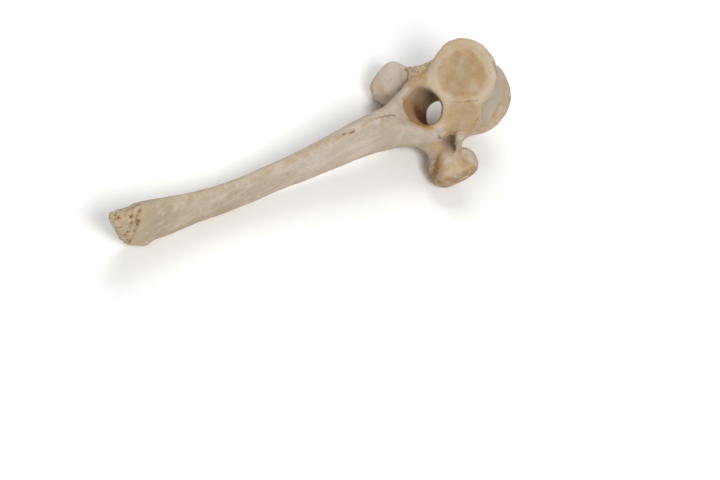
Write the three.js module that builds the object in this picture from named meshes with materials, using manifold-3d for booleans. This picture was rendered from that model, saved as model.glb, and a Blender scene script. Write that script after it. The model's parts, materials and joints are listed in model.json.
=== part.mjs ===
// Elk thoracic vertebra from the withers, life size, lying as it comes to rest on a floor.
//
// The bone is described as one smooth distance field in its anatomical frame, in millimetres:
// +x is the animal's left, +y is caudal (towards the tail) and +z is dorsal (towards the back).
// The origin of that frame is the centre of the caudal face of the vertebral body.
// The field is skinned with triangles, parted into the named portions of a vertebra by thin plane
// cuts, and laid on the two transverse processes and the tip of the spinous process.
import * as THREE from "three";
import { mergeVertices } from "three/addons/utils/BufferGeometryUtils.js";
import Module from "manifold-3d";

const wasm = await Module();
wasm.setup();

// Driving dimensions, in millimetres unless a name says otherwise.
const GAP = 0.3;

const BODY = {
  length: 46,
  waistAt: 0.55,
  halfWidth: { caudal: 26, waist: 18, cranial: 22 },
  ventral: { caudal: 23.5, waist: 13, cranial: 16 },
  dorsal: { caudal: 23.5, waist: 21.5, cranial: 20 },
  flare: 2.2,
  cupDepth: 3,
  headHeight: 7,
  rimRound: 7,
  caudalShift: 3,
};

const KEEL = { start: [0, -37, -11], end: [0, -9, -11], startRadius: 3, endRadius: 3 };

const CANAL = { height: 33, halfWidth: 12, halfHeight: 10, endFlare: 0.35, flareFrom: 16, middle: -20 };

const ARCH = {
  outerHalfWidth: 21.5,
  outerHalfHeight: 18.5,
  cranialEnd: -41,
  caudalLip: 12.5,
  lipSlope: 0.8,
  floorLip: 0.5,
  floorSlope: 1.1,
  edgeRound: 4,
};

const CAUDAL_FACET = {
  centre: [15.8, -11.2, 19.5],
  normal: [0.62, 0.77, 0.15],
  long: 16.5,
  wide: 12,
  thick: 7,
  tiltDeg: 18,
  rimRound: 5,
};
const CRANIAL_FACET = { centre: [17, -39, 11], radii: [8, 8, 12] };
// Nerve openings of the pedicles, the right one blind, and the bone that closes each of them caudally.
const FORAMEN_LEFT = { start: [12, -15, 33.5], end: [38, -12.5, 34.5], startRadius: 3.4, endRadius: 4.6 };
const FORAMEN_RIGHT = { start: [-18.5, -27, 32], end: [-40, -27, 32], startRadius: 3.4, endRadius: 4.6 };
const STRUT_LEFT = { start: [27.5, -8, 28], end: [33, -17, 36.5], startRadius: 2.3, endRadius: 2.3 };
const BRIDGE_RIGHT = { start: [-24, -9, 27], end: [-33, -17, 38], startRadius: 5.5, endRadius: 5.5 };
const CRANIAL_NOTCH = { y: -47, z: 31, radius: 6.5 };
const CRANIAL_ARTICULAR = { centre: [9, -36, 43.8], radii: [7.5, 6, 5] };

const TRANSVERSE = {
  centre: [35.8, -22, 43.5],
  tiltDeg: 14,
  halfLong: 15.5,
  rightShorter: 3.5,
  halfWide: 9,
  halfThick: 10,
  round: 7,
  neck: { start: [14, -22, 44], end: [35.8, -22, 43.5], startRadius: 8, endRadius: 8 },
  knob: { centre: [33.5, -28.5, 52], radii: [6.5, 6.5, 6.5] },
};

const SPINE = {
  leanDeg: 42,
  rootStation: 24,
  end: { tiltDeg: 16, offset: 236, round: 7 },
  bow: 1.5,
  bowStation: 260,
  // Stations along the spine, with the caudal edge, the cranial edge and the half thickness at each.
  stations: [30, 60, 90, 125, 165, 190, 215, 240, 264],
  caudalEdge: [-25, -11.5, -13.5, -19.5, -22.3, -18.6, -10.8, -3, -1],
  cranialEdge: [-51, -49, -51, -52, -53, -51, -50.5, -45, -36],
  halfThickness: [14, 10.5, 7.8, 5.8, 5.3, 5.3, 6, 7, 6.6],
  edgeSharpness: { root: 1.9, tip: 2.6 },
};

// How far each fillet reaches where two forms run together.
const FILLET = {
  keel: 8,
  archOnBody: 7,
  caudalFacet: 2.5,
  cranialFacet: 9,
  articular: 5,
  spineRoot: 15,
  transverse: 5.5,
  paddle: 6,
  bridge: 6,
  canal: 3,
  opening: 4,
  strut: 3,
};

// Grids that the surface is skinned on: a fine one round the body, a coarser one along the spine.
const TRUNK_CELL = 2.6;
const BLADE_CELL = 3.5;
const TRUNK_BOX = { low: [-54, -58, -24], high: [54, 40, 96] };
const BLADE_BOX = { low: [-20, -66, 46], high: [20, 16, 276] };

// Planes that part the bone: along the spine, outside the arch, and across the pedicles.
const CUT = {
  spineStation: 62,
  summitStation: 236,
  transverseNormal: [0.75, 0.66],
  transverseOffset: 45,
  transverseInner: 14,
  archHeight: 38.5,
};
const HALF_SPACE = 900;

const COLOUR = {
  centrum: 0xc2ab86,
  neural_arch: 0xc9b89a,
  transverse_process_left: 0xb59a74,
  transverse_process_right: 0xd2c6b2,
  spinous_process: 0xdccfbd,
  spine_summit: 0xcdb797,
};

// Distance fields: negative inside, positive outside.
// `reach` is how far from the seam a fillet starts.
function join(a, b, reach) {
  const h = Math.max(reach - Math.abs(a - b), 0) / reach;
  return Math.min(a, b) - h * h * reach * 0.25;
}
const meet = (a, b, reach) => -join(-a, -b, reach);
const carve = (a, b, reach) => meet(a, -b, reach);

function ellipsoid(x, y, z, { centre: [cx, cy, cz], radii: [rx, ry, rz] }) {
  const dx = x - cx;
  const dy = y - cy;
  const dz = z - cz;
  const k0 = Math.hypot(dx / rx, dy / ry, dz / rz);
  const k1 = Math.hypot(dx / (rx * rx), dy / (ry * ry), dz / (rz * rz));
  return k1 > 0 ? (k0 * (k0 - 1)) / k1 : -Math.min(rx, ry, rz);
}

// A cylinder of oval section: the gap between a point and the oval along its own radius.
// A power of 2 gives an ellipse, less sharpens the two ends, more squares them.
function oval(u, v, ru, rv, power = 2) {
  const r = Math.hypot(u, v);
  const k = (Math.abs(u / ru) ** power + Math.abs(v / rv) ** power) ** (1 / power);
  return k > 0 ? r - r / k : -Math.min(ru, rv);
}

// A straight bar with round ends whose radius runs from its start to its end.
function taperedBar(x, y, z, { start, end, startRadius, endRadius }) {
  const bar = end.map((value, axis) => value - start[axis]);
  const out = [x - start[0], y - start[1], z - start[2]];
  const lengthSquared = bar[0] ** 2 + bar[1] ** 2 + bar[2] ** 2;
  const along = (out[0] * bar[0] + out[1] * bar[1] + out[2] * bar[2]) / lengthSquared;
  const t = THREE.MathUtils.clamp(along, 0, 1);
  const radius = startRadius + (endRadius - startRadius) * t;
  return Math.hypot(out[0] - t * bar[0], out[1] - t * bar[1], out[2] - t * bar[2]) - radius;
}

function roundedBox(u, v, w, hu, hv, hw, round) {
  const qu = Math.abs(u) - hu + round;
  const qv = Math.abs(v) - hv + round;
  const qw = Math.abs(w) - hw + round;
  const outside = Math.hypot(Math.max(qu, 0), Math.max(qv, 0), Math.max(qw, 0));
  return outside + Math.min(Math.max(qu, qv, qw), 0) - round;
}

// Vertebral body: a waisted drum with a hollow caudal face, a domed cranial head and a ventral keel.
function flared(t, { caudal, waist, cranial }) {
  const towardsCaudal = t < BODY.waistAt;
  const span = towardsCaudal ? 1 - t / BODY.waistAt : (t - BODY.waistAt) / (1 - BODY.waistAt);
  return waist + ((towardsCaudal ? caudal : cranial) - waist) * span ** BODY.flare;
}

function bodyField(x, y, z) {
  const t = THREE.MathUtils.clamp(-y / BODY.length, 0, 1);
  const a = flared(t, BODY.halfWidth);
  const b = flared(t, z < 0 ? BODY.ventral : BODY.dorsal);
  const across = x + BODY.caudalShift * (1 - t);
  const fill = Math.max(1 - (across / a) ** 2 - (z / b) ** 2, 0);
  const caudalFace = y + BODY.cupDepth * fill;
  const cranialHead = -y - BODY.length - BODY.headHeight * fill;
  const drum = meet(meet(oval(across, z, a, b), caudalFace, BODY.rimRound), cranialHead, BODY.rimRound);
  return join(drum, taperedBar(x, y, z, KEEL), FILLET.keel);
}

// Caudal costal facet: an oval pad beside the caudal face, facing caudally and outwards.
const facetNormal = new THREE.Vector3(...CAUDAL_FACET.normal).normalize();
const facetWide = new THREE.Vector3(0, 0, 1).cross(facetNormal).negate().normalize();
const facetLong = facetNormal.clone().cross(facetWide).negate();
const facetTilt = THREE.MathUtils.degToRad(CAUDAL_FACET.tiltDeg);
const facetOffset = new THREE.Vector3();

function caudalFacetField(x, y, z) {
  const [cx, cy, cz] = CAUDAL_FACET.centre;
  facetOffset.set(x - cx, y - cy, z - cz);
  const u = facetOffset.dot(facetLong);
  const v = facetOffset.dot(facetWide);
  const w = facetOffset.dot(facetNormal);
  const long = u * Math.cos(facetTilt) + v * Math.sin(facetTilt);
  const wide = v * Math.cos(facetTilt) - u * Math.sin(facetTilt);
  const rim = oval(long, wide, CAUDAL_FACET.long, CAUDAL_FACET.wide);
  return meet(rim, Math.abs(w) - CAUDAL_FACET.thick, CAUDAL_FACET.rimRound);
}

// Transverse process: a rounded paddle on a short neck, with a knob at its dorsal cranial corner.
// The ventral end of the right paddle is shorter than that of the left one.
const tilt = THREE.MathUtils.degToRad(TRANSVERSE.tiltDeg);

function transverseField(x, y, z, shorter) {
  const [cx, cy, cz] = TRANSVERSE.centre;
  const dx = x - cx;
  const dz = z - cz;
  const long = dx * Math.sin(tilt) - dz * Math.cos(tilt) + shorter / 2;
  const wide = dx * Math.cos(tilt) + dz * Math.sin(tilt);
  const paddle = roundedBox(long, wide, y - cy, TRANSVERSE.halfLong - shorter / 2, TRANSVERSE.halfWide,
    TRANSVERSE.halfThick, TRANSVERSE.round);
  const neck = taperedBar(x, y, z, TRANSVERSE.neck);
  const knob = ellipsoid(x, y, z, TRANSVERSE.knob);
  return join(join(paddle, neck, FILLET.paddle), knob, FILLET.paddle);
}

// Neural arch: a ring over the canal whose caudal margin reaches furthest at the roof, on the midline,
// and draws back to the body at the floor of the canal.
function archField(x, y, z) {
  const ring = oval(x, z - CANAL.height, ARCH.outerHalfWidth, ARCH.outerHalfHeight);
  const caudalMargin = y - ARCH.caudalLip + ARCH.lipSlope * Math.abs(x);
  const aboveFloor = z - CANAL.height + CANAL.halfHeight;
  const floorMargin = (y - ARCH.floorLip - ARCH.floorSlope * aboveFloor) / Math.hypot(1, ARCH.floorSlope);
  const cranialMargin = ARCH.cranialEnd - y;
  const caudalEnd = meet(caudalMargin, floorMargin, ARCH.edgeRound);
  return meet(meet(ring, caudalEnd, ARCH.edgeRound), cranialMargin, ARCH.edgeRound);
}

function canalField(x, y, z) {
  const flare = Math.max(Math.abs(y - CANAL.middle) - CANAL.flareFrom, 0) * CANAL.endFlare;
  return oval(x, z - CANAL.height - flare / 2, CANAL.halfWidth + flare, CANAL.halfHeight + flare / 2);
}

// Spinous process: a leaning blade. A station runs along it, and a depth runs caudally across it.
const lean = THREE.MathUtils.degToRad(SPINE.leanDeg);
const endTilt = THREE.MathUtils.degToRad(SPINE.end.tiltDeg);
const stationOf = (y, z) => y * Math.sin(lean) + z * Math.cos(lean);
const depthOf = (y, z) => y * Math.cos(lean) - z * Math.sin(lean);
const profile = (values) => {
  const curve = new THREE.CubicInterpolant(SPINE.stations, values, 1);
  return (station) => curve.evaluate(station)[0];
};
const caudalEdge = profile(SPINE.caudalEdge);
const cranialEdge = profile(SPINE.cranialEdge);
const halfThickness = profile(SPINE.halfThickness);
const sideways = (station) => -SPINE.bow * (station / SPINE.bowStation) ** 2;

function spineField(x, y, z) {
  const station = stationOf(y, z);
  const inRange = THREE.MathUtils.clamp(station, SPINE.stations[0], SPINE.stations.at(-1));
  const caudal = caudalEdge(inRange);
  const cranial = cranialEdge(inRange);
  const depth = depthOf(y, z) - (caudal + cranial) / 2;
  const { root, tip } = SPINE.edgeSharpness;
  const towardsTip = THREE.MathUtils.smoothstep(inRange, SPINE.stations[1], SPINE.stations[4]);
  const power = root + (tip - root) * towardsTip;
  const blade = oval(depth, x - sideways(inRange), (caudal - cranial) / 2, halfThickness(inRange), power);
  const end = y * Math.sin(endTilt) + z * Math.cos(endTilt) - SPINE.end.offset;
  return meet(meet(blade, end, SPINE.end.round), SPINE.rootStation - station, 2);
}

// The whole bone. Paired forms are measured from the midline, so each is described once.
function boneField(x, y, z) {
  const side = Math.abs(x);
  let bone = join(bodyField(x, y, z), archField(x, y, z), FILLET.archOnBody);
  bone = join(bone, caudalFacetField(side, y, z), FILLET.caudalFacet);
  bone = join(bone, ellipsoid(side, y, z, CRANIAL_FACET), FILLET.cranialFacet);
  bone = join(bone, ellipsoid(side, y, z, CRANIAL_ARTICULAR), FILLET.articular);
  bone = join(bone, spineField(x, y, z), FILLET.spineRoot);
  bone = join(bone, transverseField(side, y, z, x < 0 ? TRANSVERSE.rightShorter : 0), FILLET.transverse);
  bone = join(bone, taperedBar(x, y, z, BRIDGE_RIGHT), FILLET.bridge);
  bone = carve(bone, canalField(x, y, z), FILLET.canal);
  bone = carve(bone, taperedBar(x, y, z, FORAMEN_LEFT), FILLET.opening);
  bone = carve(bone, taperedBar(x, y, z, FORAMEN_RIGHT), FILLET.opening);
  const notch = Math.hypot(y - CRANIAL_NOTCH.y, z - CRANIAL_NOTCH.z) - CRANIAL_NOTCH.radius;
  bone = carve(bone, notch, FILLET.opening);
  return join(bone, taperedBar(x, y, z, STRUT_LEFT), FILLET.strut);
}

// Skinning: one vertex in each grid cell that the surface crosses, at the mean of the crossings, and
// one pair of triangles across each grid edge that changes sign. `toBone` turns grid axes to the bone's.
function skin(field, low, high, cell, toBone = new THREE.Matrix4()) {
  const count = [0, 1, 2].map((k) => Math.ceil((high[k] - low[k]) / cell) + 1);
  const at = (i, j, k) => (i * count[1] + j) * count[2] + k;
  const point = new THREE.Vector3();
  const sample = (x, y, z) => {
    point.set(x, y, z).applyMatrix4(toBone);
    return field(point.x, point.y, point.z);
  };
  const values = new Float64Array(count[0] * count[1] * count[2]);
  for (let i = 0; i < count[0]; i++)
    for (let j = 0; j < count[1]; j++)
      for (let k = 0; k < count[2]; k++) {
        const border = [i, j, k].some((n, axis) => n === 0 || n === count[axis] - 1);
        const value = sample(low[0] + i * cell, low[1] + j * cell, low[2] + k * cell);
        values[at(i, j, k)] = border ? Math.max(value, cell / 4) : value;
      }

  // Two sheets that only touch along a cell's face are joined: the outer corner nearest to the surface
  // is taken inside. The inside only ever grows, so this comes to an end.
  const faces = [[[0, 1, 0], [0, 0, 1]], [[1, 0, 0], [0, 0, 1]], [[1, 0, 0], [0, 1, 0]]];
  let touching = true;
  while (touching) {
    touching = false;
    for (let i = 0; i < count[0] - 1; i++)
      for (let j = 0; j < count[1] - 1; j++)
        for (let k = 0; k < count[2] - 1; k++)
          for (const [p, q] of faces) {
            const ring = [[0, 0, 0], p, p.map((n, axis) => n + q[axis]), q];
            const ids = ring.map(([a, b, c]) => at(i + a, j + b, k + c));
            const [a, b, c, d] = ids.map((id) => values[id] < 0);
            if (a !== c || b !== d || a === b) continue;
            const outer = ids.filter((id) => values[id] >= 0).sort((m, n) => values[m] - values[n]);
            values[outer[0]] = -cell * 0.05;
            touching = true;
          }
  }

  const corners = [0, 1, 2, 3, 4, 5, 6, 7].map((n) => [n & 1, (n >> 1) & 1, (n >> 2) & 1]);
  const alongAxis = (bit) => corners.map((_, n) => [n, n | bit]).filter(([a, b]) => a !== b);
  const edges = [1, 2, 4].flatMap(alongAxis);
  const vertices = [];
  const vertexOf = new Map();
  for (let i = 0; i < count[0] - 1; i++)
    for (let j = 0; j < count[1] - 1; j++)
      for (let k = 0; k < count[2] - 1; k++) {
        const v = corners.map(([a, b, c]) => values[at(i + a, j + b, k + c)]);
        const crossed = edges.filter(([a, b]) => v[a] < 0 !== v[b] < 0);
        if (!crossed.length) continue;
        const mean = [0, 0, 0];
        for (const [a, b] of crossed) {
          const t = v[a] / (v[a] - v[b]);
          for (let axis = 0; axis < 3; axis++)
            mean[axis] += (corners[a][axis] + t * (corners[b][axis] - corners[a][axis])) / crossed.length;
        }
        vertexOf.set(at(i, j, k), vertices.length / 3);
        vertices.push(...[i, j, k].map((n, axis) => low[axis] + (n + mean[axis]) * cell));
      }

  const triangles = [];
  const quad = (cells, outwards) => {
    const gap = (m, n) => Math.hypot(...[0, 1, 2].map((k) => vertices[3 * m + k] - vertices[3 * n + k]));
    const ring = outwards ? cells : cells.reverse();
    if (gap(ring[0], ring[2]) <= gap(ring[1], ring[3]))
      triangles.push(ring[0], ring[1], ring[2], ring[0], ring[2], ring[3]);
    else triangles.push(ring[1], ring[2], ring[3], ring[1], ring[3], ring[0]);
  };
  for (let i = 0; i < count[0] - 1; i++)
    for (let j = 0; j < count[1] - 1; j++)
      for (let k = 0; k < count[2] - 1; k++) {
        const inside = values[at(i, j, k)] < 0;
        const crosses = (a, b, c) => inside !== values[at(i + a, j + b, k + c)] < 0;
        const cells = (...list) => list.map(([a, b, c]) => vertexOf.get(at(i - a, j - b, k - c)));
        if (j > 0 && k > 0 && crosses(1, 0, 0))
          quad(cells([0, 1, 1], [0, 0, 1], [0, 0, 0], [0, 1, 0]), inside);
        if (i > 0 && k > 0 && crosses(0, 1, 0))
          quad(cells([1, 0, 1], [1, 0, 0], [0, 0, 0], [0, 0, 1]), inside);
        if (i > 0 && j > 0 && crosses(0, 0, 1))
          quad(cells([1, 1, 0], [0, 1, 0], [0, 0, 0], [1, 0, 0]), inside);
      }

  const geometry = new THREE.BufferGeometry();
  geometry.setAttribute("position", new THREE.Float32BufferAttribute(vertices, 3));
  geometry.setIndex(triangles);
  return geometry.applyMatrix4(toBone);
}

// Solids for joining and cutting, and back to triangles.
function solidOf(geometry) {
  const merged = mergeVertices(geometry.clone().deleteAttribute("normal").deleteAttribute("uv"), 1e-4);
  return new wasm.Manifold(new wasm.Mesh({
    numProp: 3,
    vertProperties: new Float32Array(merged.attributes.position.array),
    triVerts: new Uint32Array(merged.index.array),
  }));
}

function geometryOf(solid) {
  const largest = solid.decompose().sort((a, b) => b.volume() - a.volume())[0];
  const { vertProperties, triVerts } = largest.getMesh();
  const geometry = new THREE.BufferGeometry();
  geometry.setAttribute("position", new THREE.Float32BufferAttribute(vertProperties, 3));
  geometry.setIndex(Array.from(triVerts));
  geometry.computeVertexNormals();
  return geometry;
}

// The half of space on the far side of a plane, as a box large enough to hold the bone.
function beyond(normal, offset) {
  const direction = new THREE.Vector3(...normal).normalize();
  const box = new THREE.BoxGeometry(HALF_SPACE, HALF_SPACE, HALF_SPACE);
  box.translate(0, 0, HALF_SPACE / 2 + offset);
  box.applyQuaternion(new THREE.Quaternion().setFromUnitVectors(new THREE.Vector3(0, 0, 1), direction));
  return solidOf(box);
}

// Cuts that part the bone where its portions meet.
const spineAxis = [0, Math.sin(lean), Math.cos(lean)];
const keep = (solid, normal, offset) => solid.intersect(beyond(normal, offset + GAP / 2));
const drop = (solid, normal, offset) => solid.subtract(beyond(normal, offset - GAP / 2));
const outerSide = (side, shift) => {
  const [nx, nz] = CUT.transverseNormal;
  const outside = beyond([side * nx, 0, nz], CUT.transverseOffset + shift);
  return outside.intersect(beyond([side, 0, 0], CUT.transverseInner + shift));
};

const trunk = solidOf(skin(boneField, TRUNK_BOX.low, TRUNK_BOX.high, TRUNK_CELL));
const bladeTurn = new THREE.Matrix4().makeRotationX(-lean);
const blade = solidOf(skin(boneField, BLADE_BOX.low, BLADE_BOX.high, BLADE_CELL, bladeTurn));

const belowSpine = drop(trunk, spineAxis, CUT.spineStation);
const middle = belowSpine.subtract(outerSide(1, -GAP / 2)).subtract(outerSide(-1, -GAP / 2));
const aboveRoot = keep(blade, spineAxis, CUT.spineStation);
const portions = {
  centrum: drop(middle, [0, 0, 1], CUT.archHeight),
  neural_arch: keep(middle, [0, 0, 1], CUT.archHeight),
  transverse_process_left: belowSpine.intersect(outerSide(1, GAP / 2)),
  transverse_process_right: belowSpine.intersect(outerSide(-1, GAP / 2)),
  spinous_process: drop(aboveRoot, spineAxis, CUT.summitStation),
  spine_summit: keep(aboveRoot, spineAxis, CUT.summitStation),
};

const pose = new THREE.Group();
pose.name = "resting_pose";
const meshes = {};
for (const [name, solid] of Object.entries(portions)) {
  const material = new THREE.MeshStandardMaterial({ color: COLOUR[name], roughness: 0.7, metalness: 0 });
  meshes[name] = new THREE.Mesh(geometryOf(solid), material);
  meshes[name].name = name;
  pose.add(meshes[name]);
}

// Resting pose: the floor touches the lowest point of the spine and of both transverse processes.
const FEET = [["spinous_process", "spine_summit"], ["transverse_process_left"], ["transverse_process_right"]];
function lowestPoint(names, up) {
  const lowest = new THREE.Vector3();
  const point = new THREE.Vector3();
  let least = Infinity;
  for (const name of names) {
    const position = meshes[name].geometry.attributes.position;
    for (let n = 0; n < position.count; n++) {
      point.fromBufferAttribute(position, n);
      if (point.dot(up) < least) {
        least = point.dot(up);
        lowest.copy(point);
      }
    }
  }
  return lowest;
}

const up = new THREE.Vector3(0, 1, -1).normalize();
for (let pass = 0; pass < 12; pass++) {
  const [tip, left, right] = FEET.map((names) => lowestPoint(names, up));
  const normal = right.clone().sub(tip).cross(left.clone().sub(tip)).normalize();
  if (normal.dot(up) < 0) normal.negate();
  up.copy(normal);
}
const across = new THREE.Vector3(-1, 0, 0).addScaledVector(up, up.x).normalize();
const along = across.clone().cross(up);
pose.quaternion.setFromRotationMatrix(new THREE.Matrix4().makeBasis(along, across, up).invert());
pose.updateMatrixWorld(true);

// The row frame has its origin under the middle of the bone, on the floor.
const box = new THREE.Box3().setFromObject(pose, true);
const centre = box.getCenter(new THREE.Vector3());
pose.position.set(-centre.x, -centre.y, -box.min.z);

const vertebra = new THREE.Group();
vertebra.name = "elk_vertebra";
vertebra.add(pose);
vertebra.updateMatrixWorld(true);

export default vertebra;
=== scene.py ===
# %% [markdown]
# # An elk's withers vertebra
#
# This lesson dresses a measured bone. The frame holds six plain solids, one for each named portion
# of the vertebra. The real bone is one piece, so the solids are first grown together into one skin,
# then the finer forms are worked into that skin, and last the skin gets the colours of dry bone.

import json
import math

import bpy
import numpy as np
from mathutils import Matrix, Vector, noise

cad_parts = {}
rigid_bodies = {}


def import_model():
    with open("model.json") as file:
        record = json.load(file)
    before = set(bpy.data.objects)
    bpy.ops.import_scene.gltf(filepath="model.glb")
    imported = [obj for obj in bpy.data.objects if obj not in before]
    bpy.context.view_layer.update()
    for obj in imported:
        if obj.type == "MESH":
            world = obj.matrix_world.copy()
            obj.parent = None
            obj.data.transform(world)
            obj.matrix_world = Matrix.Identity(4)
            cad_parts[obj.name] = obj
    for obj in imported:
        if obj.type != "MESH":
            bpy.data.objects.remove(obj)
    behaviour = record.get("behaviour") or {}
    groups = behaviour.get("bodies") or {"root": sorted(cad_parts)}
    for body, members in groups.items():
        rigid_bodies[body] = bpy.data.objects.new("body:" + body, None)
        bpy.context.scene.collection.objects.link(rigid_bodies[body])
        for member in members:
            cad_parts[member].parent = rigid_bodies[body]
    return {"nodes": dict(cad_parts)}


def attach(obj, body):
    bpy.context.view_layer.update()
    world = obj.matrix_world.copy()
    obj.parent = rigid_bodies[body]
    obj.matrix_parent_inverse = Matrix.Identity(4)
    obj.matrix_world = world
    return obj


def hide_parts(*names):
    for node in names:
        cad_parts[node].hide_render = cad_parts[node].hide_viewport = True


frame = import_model()
bpy.context.view_layer.update()
nodes = frame["nodes"]
print("frame nodes:", ", ".join(nodes))

# %% [markdown]
# ## The bone's own directions
#
# Anatomy is easier to describe in the animal's directions than in the floor's. A point of the bone
# is written as (left, caudal, dorsal) in millimetres from the middle of the caudal face of the body,
# where caudal is towards the tail and dorsal towards the back. The bone lies on its back, turned about
# the floor's Y axis, so one angle and one point are enough to go from one frame to the other.
# Along the leaning spinous process a second pair is handy: the station along it and the depth across.

# %% Turn floor places into bone places
MM = 0.001
FACE_CENTRE = np.array((107.39, 0.21, 63.98))
LIE = math.radians(44.3)
SPINE_LEAN = math.radians(42)

left_axis = np.array((0.0, -1.0, 0.0))
caudal_axis = np.array((-math.cos(LIE), 0.0, math.sin(LIE)))
dorsal_axis = np.array((-math.sin(LIE), 0.0, -math.cos(LIE)))
bone_axes = np.stack((left_axis, caudal_axis, dorsal_axis))


def bone_places(points):
    """(left, caudal, dorsal) in millimetres of points that are given in metres on the floor's axes."""
    return (points / MM - FACE_CENTRE) @ bone_axes.T


def floor_place(place):
    """The place in metres on the floor's axes of one (left, caudal, dorsal) in millimetres."""
    return tuple((FACE_CENTRE + np.array(place) @ bone_axes) * MM)


def station_and_depth(places):
    """Where places lie along the spinous process, and how far caudally across it."""
    station = places[:, 1] * math.sin(SPINE_LEAN) + places[:, 2] * math.cos(SPINE_LEAN)
    depth = places[:, 1] * math.cos(SPINE_LEAN) - places[:, 2] * math.sin(SPINE_LEAN)
    return station, depth


print("the middle of the caudal face lies at", FACE_CENTRE, "mm")

# %% [markdown]
# ## One skin over all the solids
#
# The solids stop 0.3 mm short of each other. Copies of them are merged, swelled by more than half of
# that gap so that neighbours overlap, and joined. A boolean union could close them too, but it
# leaves long thin faces that take no detail. So a voxel remesh lays one even net over the whole, as a
# sculptor does before detailing, and a smoothing modifier takes away the flat facets.
# The solids' thin strut on the left stops short of the body, so a small ball is joined in at its root.

# %% Grow the solids into one skin
SWELL = 0.25 * MM
NET = 0.78 * MM
MERGE = 0.001 * MM
STRUT_ROOT = (26.4, -10.2, 26.8)
ROOT_RADIUS = 3.4 * MM

bpy.ops.object.select_all(action="DESELECT")
bpy.ops.mesh.primitive_uv_sphere_add(radius=ROOT_RADIUS, location=floor_place(STRUT_ROOT))
bpy.ops.object.transform_apply(location=True)
bone = bpy.context.object
bone.name = "vertebra"
bone.data.name = "vertebra"
for node in nodes.values():
    copy = node.copy()
    copy.data = node.data.copy()
    copy.parent = None
    bpy.context.collection.objects.link(copy)
    copy.select_set(True)
bpy.ops.object.mode_set(mode="EDIT")
bpy.ops.mesh.select_all(action="SELECT")
bpy.ops.mesh.remove_doubles(threshold=MERGE)
bpy.ops.transform.shrink_fatten(value=SWELL)
bpy.ops.object.mode_set(mode="OBJECT")
bpy.ops.object.join()
bone.data.materials.clear()


def apply_modifier(kind, **settings):
    """Adds a modifier to the bone with the given settings and applies it."""
    modifier = bone.modifiers.new(kind.title(), kind)
    for name, value in settings.items():
        setattr(modifier, name, value)
    bpy.ops.object.modifier_apply(modifier=modifier.name)


apply_modifier("REMESH", mode="VOXEL", voxel_size=NET)
apply_modifier("SMOOTH", factor=0.5, iterations=20)
print("one skin:", len(bone.data.vertices), "points")

# %% [markdown]
# ## Tools for shaping the skin
#
# The fine forms are raised and sunk along the skin's own normals, as a sculpting brush does. By hand that
# would be a day of brush strokes. Here each form is a height in millimetres at every point, worked out
# from where the point lies on the bone, so it can be read and changed. Two brushes do most of the work:
# a soft step from one value to another, and a soft ridge beside a line. Their numbers are millimetres on
# the bone where they go with a place or a distance, and otherwise shares from 0 to 1.

# %% Brushes
SEED_STEP = (17.3, 7.9, 3.1)


def read(collection, field):
    """One vector per point, as an array."""
    values = np.empty(len(collection) * 3)
    collection.foreach_get(field, values)
    return values.reshape(-1, 3)


def soft_step(start, end, values):
    """0 at start and beyond, 1 at end and beyond, and a soft curve between the two."""
    share = np.clip((values - start) / (end - start), 0, 1)
    return share * share * (3 - 2 * share)


def ridge(distance, width):
    """1 on a line, falling softly to nothing a few widths away."""
    return np.exp(-((distance / width) ** 2))


def near(place, width):
    """1 at a place on the bone, falling softly to nothing a few widths away."""
    return ridge(np.linalg.norm(places - place, axis=1), width)


def from_path(path):
    """How far each point is from a path of straight legs, and how far along that path it lies, 0 to 1."""
    path = np.array(path, float)
    legs = path[1:] - path[:-1]
    lengths = np.linalg.norm(legs, axis=1)
    nearest = np.full(len(places), np.inf)
    along = np.zeros(len(places))
    for number, (start, leg) in enumerate(zip(path[:-1], legs)):
        share = np.clip(((places - start) @ leg) / (leg @ leg), 0, 1)
        distance = np.linalg.norm(places - start - share[:, None] * leg, axis=1)
        closer = distance < nearest
        nearest[closer] = distance[closer]
        along[closer] = (lengths[:number].sum() + share * lengths[number])[closer]
    return nearest, along / lengths.sum()


def grain(at, size, seed):
    """Soft noise from -1 to 1 whose lumps are about `size` millimetres wide."""
    shift = Vector([seed * step for step in SEED_STEP])
    return np.array([noise.noise(Vector(place) / size + shift) for place in at])


places = bone_places(read(bone.data.vertices, "co"))
facing = read(bone.data.vertices, "normal") @ bone_axes.T
station, depth = station_and_depth(places)
left, caudal, dorsal = places.T
print("bone spans", np.round(np.ptp(places, axis=0)), "mm left, caudal, dorsal")

# %% [markdown]
# ## The caudal face of the body
#
# The disc that faced the next vertebra is a shallow dish. Its outer ring is a separate growth plate
# that fused on late, so it stands a little proud and a faint groove parts it from the dish. The dish of
# the solids is a little too deep, so the skin fills its middle again. Insets and bevels would need rings
# of edges that an even net doesn't have, so groove and ring lie at shares of the disc's radius.

# %% Dish, groove and ring
DISC_CENTRE = (-2.5, 1.5)
DISC_HALF = (24.0, 20.5)
DISH_FILL = 0.8
DISH_WAVES = 0.25
GROOVE_AT = 0.74
GROOVE_DEPTH = 0.12
RING_AT = 0.88
RING_HEIGHT = 0.15


def oval_radius(centre, half):
    """How far each point lies from an oval's centre, in shares of the oval's half sizes."""
    return np.hypot((left - centre[0]) / half[0], (dorsal - centre[1]) / half[1])


disc_radius = oval_radius(DISC_CENTRE, DISC_HALF)
on_disc = soft_step(-9, -4, caudal) * soft_step(0.3, 0.7, facing[:, 1]) * soft_step(25, 22, dorsal)
wander = grain(places, 9, 1)
dish = DISH_FILL * soft_step(0.75, 0.1, disc_radius) + DISH_WAVES * grain(places, 6, 14)
groove = -GROOVE_DEPTH * ridge(disc_radius - GROOVE_AT - 0.06 * wander, 0.04)
ring = RING_HEIGHT * ridge(disc_radius - RING_AT, 0.08)
disc_height = on_disc * (dish + groove + ring)
print("disc points:", int((on_disc > 0.5).sum()))

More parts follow.
